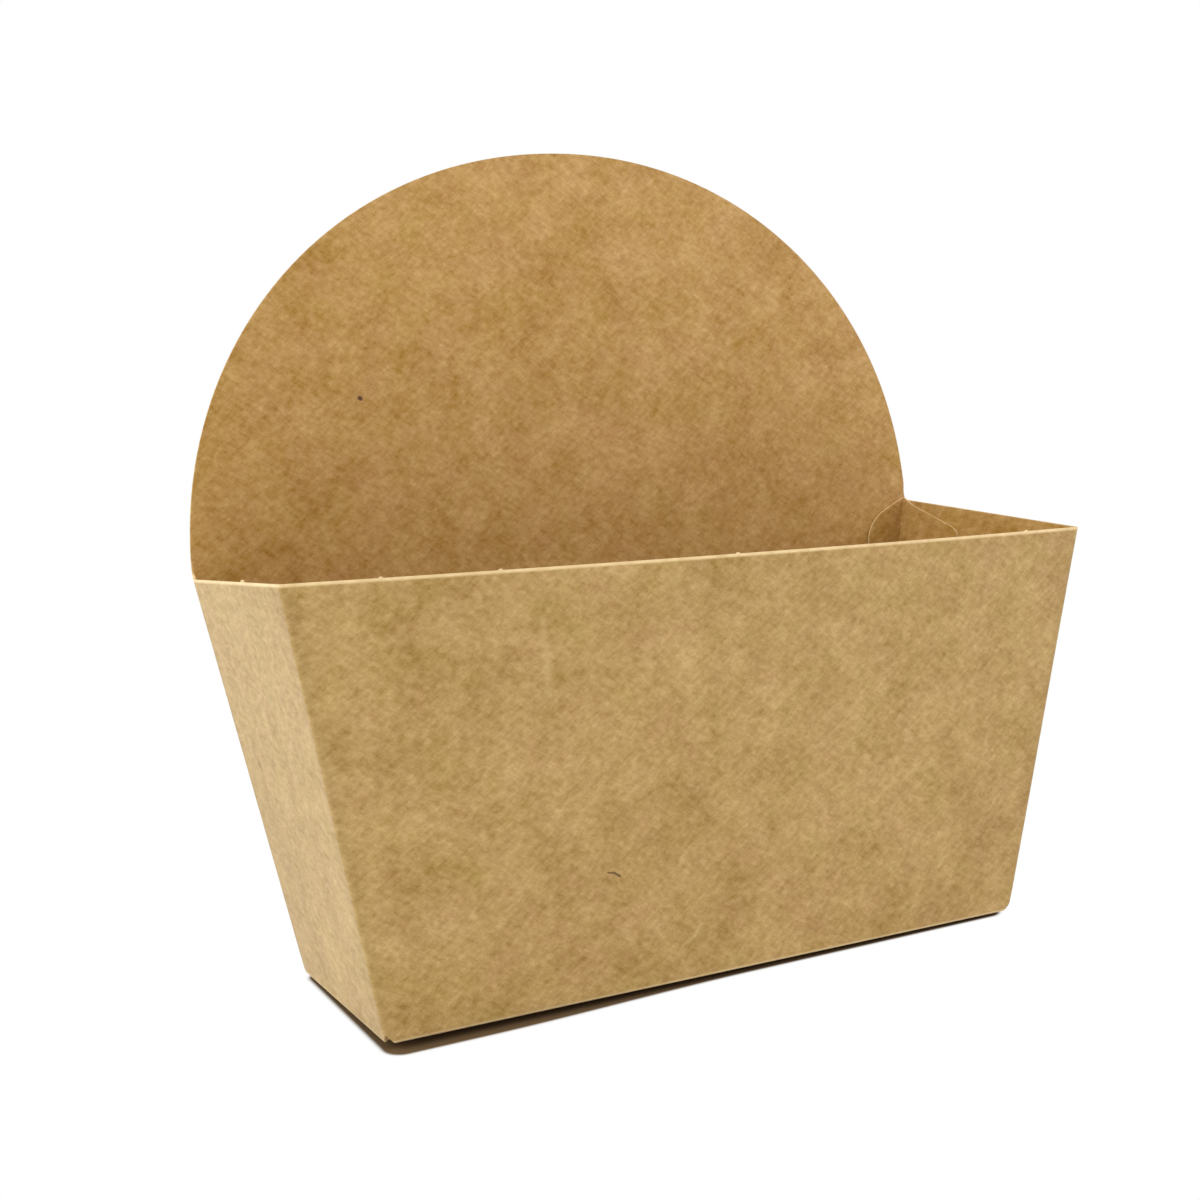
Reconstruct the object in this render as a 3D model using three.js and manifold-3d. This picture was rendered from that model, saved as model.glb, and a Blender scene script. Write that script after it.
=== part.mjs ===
// A paper food tray: one sheet of kraft board, cut, folded and glued into a flared box whose back
// wall rises into a large round panel. Everything is in millimetres, with +Z up, +X to the right as
// seen from the front and +Y towards the back panel. The origin is the centre of the base, on the
// surface that the tray stands on.
import * as THREE from "three";
import { mergeVertices } from "three/addons/utils/BufferGeometryUtils.js";
import Module from "manifold-3d";

// Box, measured over the outside of the folded board
const rimLength = 150;
const rimDepth = 53;
const baseLength = 123.1;
const baseDepth = 43.2;
const wallHeight = 72.85;
const boardThickness = 0.45;

// Back panel above the rim: half of a superellipse, a little fuller at the shoulders than a circle
const backRise = 71.8;
const backFullness = 2.05;
const backSegments = 56;

// Folds, as radii over the outside of the board
const uprightFoldRadius = 0.7;
const bottomFoldRadius = 0.6;

// How the folded sheet has settled. Two opposite rim corners ride up and two sink, and the front
// wall bows outwards, both from nothing just above the base to the full amount at the rim. The
// whole front left corner edge rides clear of the surface.
const rimTwist = 1.53;
const frontBow = 3.3;
const stiffHeight = 4;
const frontLeftLift = 0.95;

// Bottom flaps, from the surface upwards: the back flap, the front flap glued on it over an
// overlap in the middle, and a dust flap from each end wall
const flapOverlap = 16;
const flapEndGap = 1.2;
const flapCornerRadius = 3;
const dustFlapLength = 36;
const dustFlapSideGap = 1.6;
const dustFlapTaper = 6;

// Relief notch where two bottom folds meet at a corner
const notchReach = 1.6;
const notchHeight = 1.5;

// Seam flap: the strip of board glued inside the rear right corner, with a wing on each wall
const seamBackWidth = 8.8;
const seamEndWidth = 19;
const seamTipRise = 0.9;
const seamBackDrop = 4.4;
const seamEndDrop = 3.4;
const seamCornerRadius = 2.4;
const seamFootHeight = 8;

// Nicks: stubs of board left on the rim where the blank was held in its sheet
const nickWidth = 0.5;
const nickHeight = 0.4;
const frontNickPlaces = [-59.1, -40.9, 0.5, 61.9];
const leftNickPlaces = [-6];

// Fineness of the facets
const frontDivisions = 12;
const flapDivisions = 6;
const wallLevels = 4;
const foldSteps = 3;

// Depth by which glued layers are let into each other, and how far a cutting shape overshoots
const glueDepth = 0.12;
const overshoot = 4;

const frontLean = Math.atan((rimDepth - baseDepth) / 2 / wallHeight);
const endLean = Math.atan((rimLength - baseLength) / 2 / wallHeight);
const endInset = boardThickness / Math.cos(endLean);
const frontInset = boardThickness / Math.cos(frontLean);
const topOfBack = wallHeight + backRise * Math.cos(frontLean);

const wasm = await Module();
wasm.setup();

// Outer half length and half depth of the box at a height
function halfLengthAt(z) {
  return THREE.MathUtils.lerp(baseLength, rimLength, z / wallHeight) / 2;
}

function halfDepthAt(z) {
  return THREE.MathUtils.lerp(baseDepth, rimDepth, z / wallHeight) / 2;
}

// Gives a shape the lift, the bow and the twist that the folded sheet has settled into. Towards the
// rim, all but the rear right corner stands a board's thickness higher, on the layers below. Above
// the rim the back panel turns in its own plane, as its two rim corners have moved.
function settled(geometry) {
  const points = geometry.attributes.position;
  const risePerArea = (4 * rimTwist) / (rimLength * rimDepth);
  for (let i = 0; i < points.count; i += 1) {
    const x = points.getX(i);
    const y = points.getY(i);
    const z = points.getZ(i);
    const height = Math.min(z, wallHeight);
    const across = THREE.MathUtils.clamp(x / halfLengthAt(height), -1, 1);
    const along = THREE.MathUtils.clamp(y / halfDepthAt(height), -1, 1);
    const share = THREE.MathUtils.clamp((z - stiffHeight) / (wallHeight - stiffHeight), 0, 1);
    const aboveRim = Math.max(z - wallHeight, 0);
    const bow = frontBow * share * Math.min(Math.max(-2 * along, 0), 1) * (1 - across * across);
    const lift = (frontLeftLift * (1 - across) * (1 - along)) / 4;
    const layers = (boardThickness * share * (4 - (1 + across) * (1 + along))) / 4;
    const turn = risePerArea * y - (boardThickness * (1 + along)) / (2 * rimLength);
    const rise = lift + layers + risePerArea * x * y * share;
    points.setXYZ(i, x - turn * aboveRim, y - bow, z + rise);
  }
  return geometry;
}

// A closed geometry as a solid that can be joined and cut
function solid(geometry) {
  geometry.deleteAttribute("normal");
  geometry.deleteAttribute("uv");
  const merged = mergeVertices(geometry, 1e-5);
  return new wasm.Manifold(
    new wasm.Mesh({
      numProp: 3,
      vertProperties: merged.attributes.position.array,
      triVerts: new Uint32Array(merged.index.array),
    }),
  );
}

// Outline of a loop with rounded corners around a core that reaches 1 mm from the middle each way.
// Its long front side is divided, so that it can bow.
function coreLoop(cornerRadius) {
  const points = [];
  const corners = [
    [1, -1, -Math.PI / 2],
    [1, 1, 0],
    [-1, 1, Math.PI / 2],
    [-1, -1, Math.PI],
  ];
  for (const [x, y, start] of corners) {
    for (let step = 0; step <= foldSteps; step += 1) {
      const angle = start + ((Math.PI / 2) * step) / foldSteps;
      points.push(
        new THREE.Vector2(x + cornerRadius * Math.cos(angle), y + cornerRadius * Math.sin(angle)),
      );
    }
  }
  for (let i = 1; i < frontDivisions; i += 1) {
    points.push(new THREE.Vector2(-1 + (2 * i) / frontDivisions, -1 - cornerRadius));
  }
  return new THREE.Shape(points);
}

// Stretches a coordinate of the core loop to a new core size and keeps its corners as they are
function stretched(value, core) {
  const size = Math.abs(value);
  return size <= 1 ? value * core : Math.sign(value) * (core + size - 1);
}

// Height of the bottom folds: the back one lies on the surface, the front one is a board's
// thickness up, and an end one falls from two boards at the front to one at the back
function foldHeight(coreX, coreY) {
  const towardsEnd = Math.max(Math.abs(coreX) - 1, 0);
  const towardsSide = Math.max(Math.abs(coreY) - 1, 0);
  const sideShare = Math.atan2(towardsSide, towardsEnd) / (Math.PI / 2);
  const side = coreY < 0 ? boardThickness : 0;
  const end = coreY < 0 ? 2 * boardThickness : boardThickness;
  return THREE.MathUtils.lerp(end, side, sideShare);
}

// A solid bounded by loops, one for each level from the bottom up
function loopSolid(cornerRadius, levels) {
  const steps = levels.length - 1;
  const geometry = new THREE.ExtrudeGeometry(coreLoop(cornerRadius), {
    depth: 1,
    steps,
    bevelEnabled: false,
  });
  const points = geometry.attributes.position;
  for (let i = 0; i < points.count; i += 1) {
    const level = levels[Math.round(points.getZ(i) * steps)];
    const fold = level.foldShare * foldHeight(points.getX(i), points.getY(i));
    const x = stretched(points.getX(i), level.halfLength - cornerRadius);
    const y = stretched(points.getY(i), level.halfDepth - cornerRadius);
    points.setXYZ(i, x, y, level.z + fold);
  }
  return solid(settled(geometry));
}

// Levels of the walls from the given height to above the back panel
function wallLevelsFrom(bottom, lengthInset, depthInset, top) {
  const heights = [bottom];
  for (let i = 1; i <= wallLevels; i += 1) {
    heights.push((wallHeight * i) / wallLevels);
  }
  heights.push(top);
  return heights.map((z) => ({
    z,
    halfLength: halfLengthAt(z) - lengthInset,
    halfDepth: halfDepthAt(z) - depthInset,
    foldShare: 0,
  }));
}

// Outside of the box, with round bottom folds
function outerSolid() {
  const folds = [];
  for (let i = 0; i < foldSteps; i += 1) {
    const angle = ((Math.PI / 2) * i) / foldSteps;
    const z = bottomFoldRadius * (1 - Math.cos(angle));
    const inset = bottomFoldRadius * (1 - Math.sin(angle));
    folds.push({
      z,
      halfLength: halfLengthAt(z) - inset,
      halfDepth: halfDepthAt(z) - inset,
      foldShare: 1,
    });
  }
  const walls = wallLevelsFrom(bottomFoldRadius + stiffHeight, 0, 0, topOfBack + overshoot);
  return loopSolid(uprightFoldRadius, [...folds, ...walls]);
}

// Inside of the box. It runs on below the base, which the bottom flaps close.
function innerSolid() {
  const cornerRadius = Math.max(uprightFoldRadius - boardThickness, boardThickness / 10);
  const levels = wallLevelsFrom(-overshoot, endInset, frontInset, topOfBack + 2 * overshoot);
  return loopSolid(cornerRadius, levels);
}

// Places a piece drawn along, up and into a wall. The wall's own point is in the middle of its
// outer face at the rim.
function ontoBack(geometry) {
  const up = new THREE.Vector3(0, Math.sin(frontLean), Math.cos(frontLean));
  const inward = new THREE.Vector3(0, -Math.cos(frontLean), Math.sin(frontLean));
  const place = new THREE.Matrix4().makeBasis(new THREE.Vector3(1, 0, 0), up, inward);
  return geometry.applyMatrix4(place.setPosition(0, rimDepth / 2, wallHeight));
}

function ontoRightEnd(geometry) {
  const up = new THREE.Vector3(Math.sin(endLean), 0, Math.cos(endLean));
  const inward = new THREE.Vector3(-Math.cos(endLean), 0, Math.sin(endLean));
  const place = new THREE.Matrix4().makeBasis(new THREE.Vector3(0, -1, 0), up, inward);
  return geometry.applyMatrix4(place.setPosition(rimLength / 2, 0, wallHeight));
}

function extruded(points, start, thickness) {
  const shape = new THREE.Shape(points);
  const geometry = new THREE.ExtrudeGeometry(shape, { depth: thickness, bevelEnabled: false });
  return geometry.translate(0, 0, start);
}

// Everything that stays of the tall box: all that is below the rim, and the round back panel
function keptRegion() {
  const below = new THREE.BoxGeometry(rimLength + 40, rimDepth + 40, wallHeight + overshoot, 8, 8, 1);
  below.translate(0, 0, (wallHeight - overshoot) / 2);
  const outline = [];
  for (let i = 0; i <= backSegments; i += 1) {
    const angle = (Math.PI * i) / backSegments;
    const along = Math.abs(Math.cos(angle)) ** (2 / backFullness);
    const up = Math.abs(Math.sin(angle)) ** (2 / backFullness);
    const x = (Math.sign(Math.cos(angle)) * along * rimLength) / 2;
    outline.push(new THREE.Vector2(x, up * backRise));
  }
  outline.push(new THREE.Vector2(-rimLength / 2, -overshoot));
  outline.push(new THREE.Vector2(rimLength / 2, -overshoot));
  const margin = boardThickness / 2;
  const round = extruded(outline, -margin, boardThickness + 2 * margin);
  return solid(settled(below)).add(solid(settled(ontoBack(round))));
}

// The lowest bottom flap. It lies flat on the surface, folded in from the back wall, and its front
// corners are cut round.
function backFlap() {
  const side = halfLengthAt(0) - flapEndGap;
  const rear = halfDepthAt(0) - bottomFoldRadius / 2;
  const front = -flapOverlap / 2;
  const shape = new THREE.Shape();
  shape.moveTo(side, rear);
  shape.lineTo(-side, rear);
  shape.lineTo(-side, front + flapCornerRadius);
  shape.quadraticCurveTo(-side, front, -side + flapCornerRadius, front);
  shape.lineTo(side - flapCornerRadius, front);
  shape.quadraticCurveTo(side, front, side, front + flapCornerRadius);
  return solid(
    new THREE.ExtrudeGeometry(shape, {
      depth: boardThickness,
      bevelEnabled: false,
      curveSegments: foldSteps,
    }),
  );
}

// The front flap. It lies on the back flap over the overlap, let into it by the glue's depth, and
// bends up from there to the lifted front fold.
function frontFlap() {
  const halfLength = halfLengthAt(boardThickness) - flapEndGap;
  const front = -halfDepthAt(boardThickness) + bottomFoldRadius / 2;
  const rear = flapOverlap / 2;
  const depth = rear - front;
  const flap = new THREE.BoxGeometry(
    2 * halfLength,
    depth,
    boardThickness,
    frontDivisions,
    flapDivisions,
    1,
  );
  flap.translate(0, (rear + front) / 2, 1.5 * boardThickness);
  const points = flap.attributes.position;
  for (let i = 0; i < points.count; i += 1) {
    const across = points.getX(i) / halfLengthAt(0);
    const bend = Math.max((-rear - points.getY(i)) / (depth - flapOverlap), 0);
    const lift = (frontLeftLift * Math.min(bend, 1) * (1 - across)) / 2;
    points.setZ(i, points.getZ(i) + lift - glueDepth * Math.max(1 - bend, 0));
  }
  return solid(flap);
}

// A dust flap, folded in from an end wall on top of the other flaps; side is 1 or -1
function dustFlap(side) {
  const outer = halfLengthAt(2 * boardThickness) - bottomFoldRadius / 2;
  const inner = outer - dustFlapLength;
  const rootHalf = halfDepthAt(0) - frontInset - dustFlapSideGap;
  const tipHalf = rootHalf - dustFlapTaper;
  const shape = new THREE.Shape();
  shape.moveTo(side * outer, rootHalf);
  shape.lineTo(side * inner, tipHalf);
  shape.lineTo(side * inner, -tipHalf);
  shape.lineTo(side * outer, -rootHalf);
  const geometry = new THREE.ExtrudeGeometry(shape, {
    depth: boardThickness,
    bevelEnabled: false,
  });
  const points = geometry.attributes.position;
  for (let i = 0; i < points.count; i += 1) {
    const rest = boardThickness * (1.5 - points.getY(i) / (2 * halfDepthAt(0)));
    points.setZ(i, points.getZ(i) + rest - glueDepth);
  }
  return solid(settled(geometry));
}

// The relief notches at the four bottom corners
function cornerNotches() {
  const notches = [];
  const width = notchReach * Math.SQRT2;
  const top = 2 * boardThickness + notchHeight;
  for (const x of [-1, 1]) {
    for (const y of [-1, 1]) {
      const notch = new THREE.BoxGeometry(width, width, top + overshoot);
      notch.rotateZ(Math.PI / 4);
      notch.translate(x * halfLengthAt(top), y * halfDepthAt(top), (top - overshoot) / 2);
      notches.push(solid(settled(notch)));
    }
  }
  return notches;
}

// Outline of a wing of the seam flap: the top edge falls away from the corner fold, turns round
// and runs down to a slanting foot. cornerAt gives the fold's place along the wall at a height.
function wingOutline(cornerAt, width, drop, lean) {
  const foot = -(wallHeight - seamFootHeight) / Math.cos(lean);
  const edge = [
    new THREE.Vector2(0, seamTipRise),
    new THREE.Vector2(width - seamCornerRadius, -drop),
  ];
  const turn = new THREE.QuadraticBezierCurve(
    edge[1],
    new THREE.Vector2(width, -drop * (width / (width - seamCornerRadius))),
    new THREE.Vector2(width, -drop - seamCornerRadius),
  );
  const points = [edge[0], ...turn.getPoints(foldSteps)];
  points.push(new THREE.Vector2(width, foot + seamCornerRadius));
  points.push(new THREE.Vector2(width - seamCornerRadius, foot));
  points.push(new THREE.Vector2(0, foot));
  return points.map((p) => new THREE.Vector2(cornerAt(p.y) - p.x, p.y));
}

// The seam flap in the rear right corner, against the inside of the back wall and the end wall
function seamFlap() {
  const backCorner = (up) => halfLengthAt(wallHeight + up * Math.cos(frontLean)) - endInset;
  const endCorner = (up) => halfDepthAt(wallHeight + up * Math.cos(endLean)) - frontInset;
  const start = boardThickness - glueDepth;
  const thickness = boardThickness + glueDepth;
  const backWing = wingOutline(backCorner, seamBackWidth, seamBackDrop, frontLean);
  const endWing = wingOutline(endCorner, seamEndWidth, seamEndDrop, endLean);
  const mirrored = endWing.map((p) => new THREE.Vector2(-p.x, p.y));
  return solid(settled(ontoBack(extruded(backWing, start, thickness)))).add(
    solid(settled(ontoRightEnd(extruded(mirrored, start, thickness)))),
  );
}

// The nicks on the front rim and on the left end's rim
function rimNicks() {
  const depth = boardThickness - glueDepth;
  const height = nickHeight + glueDepth;
  const middle = wallHeight + height / 2 - glueDepth;
  const frontY = -halfDepthAt(middle) + frontInset / 2;
  const leftX = -halfLengthAt(middle) + endInset / 2;
  const front = frontNickPlaces.map((x) =>
    new THREE.BoxGeometry(nickWidth, depth, height).translate(x, frontY, middle),
  );
  const left = leftNickPlaces.map((y) =>
    new THREE.BoxGeometry(depth, nickWidth, height).translate(leftX, y, middle),
  );
  return [...front, ...left].map((nick) => solid(settled(nick)));
}

// The whole tray as one closed sheet
function foldedSheet() {
  let sheet = outerSolid().subtract(innerSolid()).intersect(keptRegion());
  for (const notch of cornerNotches()) {
    sheet = sheet.subtract(notch);
  }
  for (const flap of [backFlap(), frontFlap(), dustFlap(1), dustFlap(-1), seamFlap()]) {
    sheet = sheet.add(flap);
  }
  for (const nick of rimNicks()) {
    sheet = sheet.add(nick);
  }
  return sheet;
}

function geometryOf(body) {
  const mesh = body.getMesh();
  const geometry = new THREE.BufferGeometry();
  geometry.setAttribute("position", new THREE.BufferAttribute(mesh.vertProperties, 3));
  geometry.setIndex(new THREE.BufferAttribute(mesh.triVerts, 1));
  geometry.computeVertexNormals();
  return geometry;
}

const kraftBoard = new THREE.MeshStandardMaterial({
  color: 0xb8985f,
  roughness: 0.85,
  metalness: 0,
});

const tray = new THREE.Mesh(geometryOf(foldedSheet()), kraftBoard);
tray.name = "folded_tray";

const group = new THREE.Group();
group.add(tray);

export default group;
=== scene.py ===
"""Scene of a paper food tray, folded from one sheet of kraft board.

The sheet's four walls, its round back panel, its bottom flaps and its glued seam flap are grid
surfaces worked out as whole arrays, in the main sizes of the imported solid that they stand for.
Folds and cut edges are finer than the solid's. The end walls' bottom folds, one nick and the edges
of the seam flap's wings lie up to a millimetre elsewhere, to fit the photo, and the bottom flaps'
ends, which are hidden there, stand further in.
Sizes are in millimetres until a mesh is filled, and in metres from there on.
"""

import logging
import math
from dataclasses import dataclass, field
from enum import Enum
from typing import Any, Callable

import bmesh
import bpy
import numpy as np
from mathutils import Matrix, Vector


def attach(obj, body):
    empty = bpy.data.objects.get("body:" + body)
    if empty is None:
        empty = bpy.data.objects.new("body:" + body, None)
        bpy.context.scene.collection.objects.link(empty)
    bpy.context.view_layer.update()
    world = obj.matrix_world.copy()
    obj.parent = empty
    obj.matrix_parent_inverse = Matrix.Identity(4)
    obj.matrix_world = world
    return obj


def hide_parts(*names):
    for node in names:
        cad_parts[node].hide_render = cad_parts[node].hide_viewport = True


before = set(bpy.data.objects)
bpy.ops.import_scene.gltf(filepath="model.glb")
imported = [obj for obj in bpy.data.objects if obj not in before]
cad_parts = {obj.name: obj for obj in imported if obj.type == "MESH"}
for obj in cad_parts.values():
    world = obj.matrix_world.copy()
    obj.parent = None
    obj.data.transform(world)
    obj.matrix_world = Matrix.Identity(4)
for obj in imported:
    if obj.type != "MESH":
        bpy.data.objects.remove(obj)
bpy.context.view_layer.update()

LOG = logging.getLogger("paper_food_tray")
MILLIMETRE = 0.001
MERGE_DISTANCE = 1e-6
FAR_FROM_EDGE = 99.0
VALUE_NAMES = ("inside", "edge_distance", "bottom_fold", "upright_fold", "end_wall")


def linear(hex_code: str) -> tuple[float, float, float, float]:
    """Turns an sRGB colour into the linear one that shaders use.

    Args:
        hex_code: The colour as "#RRGGBB".

    Returns:
        Red, green, blue and an alpha of 1.
    """
    channels = []
    for start in (1, 3, 5):
        value = int(hex_code[start : start + 2], 16) / 255
        low = value / 12.92
        high = ((value + 0.055) / 1.055) ** 2.4
        channels.append(low if value <= 0.04045 else high)
    return (channels[0], channels[1], channels[2], 1.0)


def add_node(
    tree: bpy.types.NodeTree,
    kind: str,
    settings: dict[str, Any] | None = None,
    inputs: dict[str | int, Any] | None = None,
) -> bpy.types.Node:
    """Adds a node with its settings, its constant values and its links.

    Args:
        tree: The node tree that takes the node.
        kind: The node's type name.
        settings: Properties of the node by name.
        inputs: By input name or number, a socket to link from or a constant value.

    Returns:
        The new node.
    """
    node = tree.nodes.new(kind)
    for name, value in (settings or {}).items():
        setattr(node, name, value)
    for key, value in (inputs or {}).items():
        if isinstance(value, bpy.types.NodeSocket):
            tree.links.new(value, node.inputs[key])
        else:
            node.inputs[key].default_value = value
    return node


class Face(Enum):
    """The wall that a mark lies on, both faces of it, as the sign of its place front to back."""

    FRONT = -1.0
    BACK = 1.0


class Axis(Enum):
    """The direction in which a flap reaches from its fold."""

    LENGTH = "along the tray"
    DEPTH = "across the tray"


@dataclass
class Shell:
    """A closed surface.

    Attributes:
        points: Points, one row each.
        quads: Point numbers of each face.
        values: Per-point values that the material reads, by name.
    """

    points: np.ndarray
    quads: np.ndarray
    values: dict[str, np.ndarray]


def grid_quads(rows: int, columns: int, rows_meet: bool, columns_meet: bool) -> np.ndarray:
    """Faces of a grid of points, numbered row by row.

    Each face joins the point (i, j) with (i, j+1), (i+1, j+1) and (i+1, j), and where the grid
    meets itself the number after the last one is the first.

    Args:
        rows: Number of rows.
        columns: Number of columns.
        rows_meet: Whether the last row joins the first.
        columns_meet: Whether the last column joins the first.

    Returns:
        Point numbers, four for each face.
    """
    i = np.arange(rows if rows_meet else rows - 1)[:, None]
    j = np.arange(columns if columns_meet else columns - 1)[None, :]
    below, right = (i + 1) % rows, (j + 1) % columns
    corners = (i * columns + j, i * columns + right, below * columns + right, below * columns + j)
    return np.stack(corners, axis=-1).reshape(-1, 4)


def point_values(shape: tuple[int, ...], **given: np.ndarray) -> dict[str, np.ndarray]:
    """Per-point values for the material: the given ones, and nothing for the others.

    Args:
        shape: Rows and columns of the grid.
        given: Values by name, spread over the grid where they are the same along it.

    Returns:
        Every value by name, one number for each point.
    """
    return {name: np.broadcast_to(given.get(name, 0.0), shape).ravel() for name in VALUE_NAMES}


@dataclass(frozen=True)
class BoxShape:
    """The folded box over the outside of its board, and how it has settled."""

    rim_length: float = 150.0
    rim_depth: float = 53.0
    base_length: float = 123.1
    base_depth: float = 43.2
    wall_height: float = 72.85
    board: float = 0.45
    back_rise: float = 71.8
    back_fullness: float = 2.05
    upright_fold: float = 0.7
    bottom_fold: float = 0.6
    end_fold_rear: float = 0.27
    rim_twist: float = 1.53
    front_bow: float = 3.3
    stiff_height: float = 4.0
    front_left_lift: float = 0.95

    @property
    def end_lean(self) -> float:
        """Angle by which the end walls lean outwards."""
        return math.atan((self.rim_length - self.base_length) / 2 / self.wall_height)

    @property
    def front_lean(self) -> float:
        """Angle by which the front and back walls lean outwards."""
        return math.atan((self.rim_depth - self.base_depth) / 2 / self.wall_height)

    @property
    def rise_per_area(self) -> float:
        """Rise of the rim for each square millimetre of its place along times across."""
        return 4 * self.rim_twist / (self.rim_length * self.rim_depth)

    def half_length(self, z: np.ndarray) -> np.ndarray:
        """Half the outer length at a height: a straight line from base to rim and on."""
        return (self.base_length + (self.rim_length - self.base_length) * z / self.wall_height) / 2

    def half_depth(self, z: np.ndarray) -> np.ndarray:
        """Half the outer depth at a height: a straight line from base to rim and on."""
        return (self.base_depth + (self.rim_depth - self.base_depth) * z / self.wall_height) / 2

    def settle(self, x: np.ndarray, y: np.ndarray, z: np.ndarray) -> np.ndarray:
        """Bends points as the sheet has settled.

        The height grows by the twist times length-place times depth-place, and by the lift of
        the front left corner edge, which falls evenly to nothing at the right and at the back.
        Towards the rim, all but the rear right corner stands one board higher.
        The front wall moves out by the bow, times one minus the square of its place along.
        Above the rim the back panel turns in its own plane.

        Args:
            x: Places along the tray.
            y: Places across the tray.
            z: Heights.

        Returns:
            The points, with x, y and z in the last axis.
        """
        height = np.minimum(z, self.wall_height)
        across = np.clip(x / self.half_length(height), -1, 1)
        along = np.clip(y / self.half_depth(height), -1, 1)
        share = np.clip((z - self.stiff_height) / (self.wall_height - self.stiff_height), 0, 1)
        above = np.maximum(z - self.wall_height, 0)
        bow = self.front_bow * share * np.clip(-2 * along, 0, 1) * (1 - across**2)
        lift = self.front_left_lift * (1 - across) * (1 - along) / 4
        layers = self.board * share * (4 - (1 + across) * (1 + along)) / 4
        turn = self.rise_per_area * y - self.board * (1 + along) / (2 * self.rim_length)
        rise = lift + layers + self.rise_per_area * x * y * share
        return np.stack((x - turn * above, y - bow, z + rise), axis=-1)

    def arch_half_length(self, up: np.ndarray) -> np.ndarray:
        """Half width of the round panel at a distance above the rim, by the superellipse."""
        share = np.clip(up / self.back_rise, 0, 1)
        return self.rim_length / 2 * (1 - share**self.back_fullness) ** (1 / self.back_fullness)


@dataclass
class Columns:
    """Columns of the wall grid, one entry for each place round the box.

    Attributes:
        core_x: Place along, as a share of the flat part of the front and back walls.
        core_y: Place across, as a share of the flat part of the end walls.
        out_x: Outward direction along the tray.
        out_y: Outward direction across the tray.
    """

    core_x: np.ndarray
    core_y: np.ndarray
    out_x: np.ndarray
    out_y: np.ndarray


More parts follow.
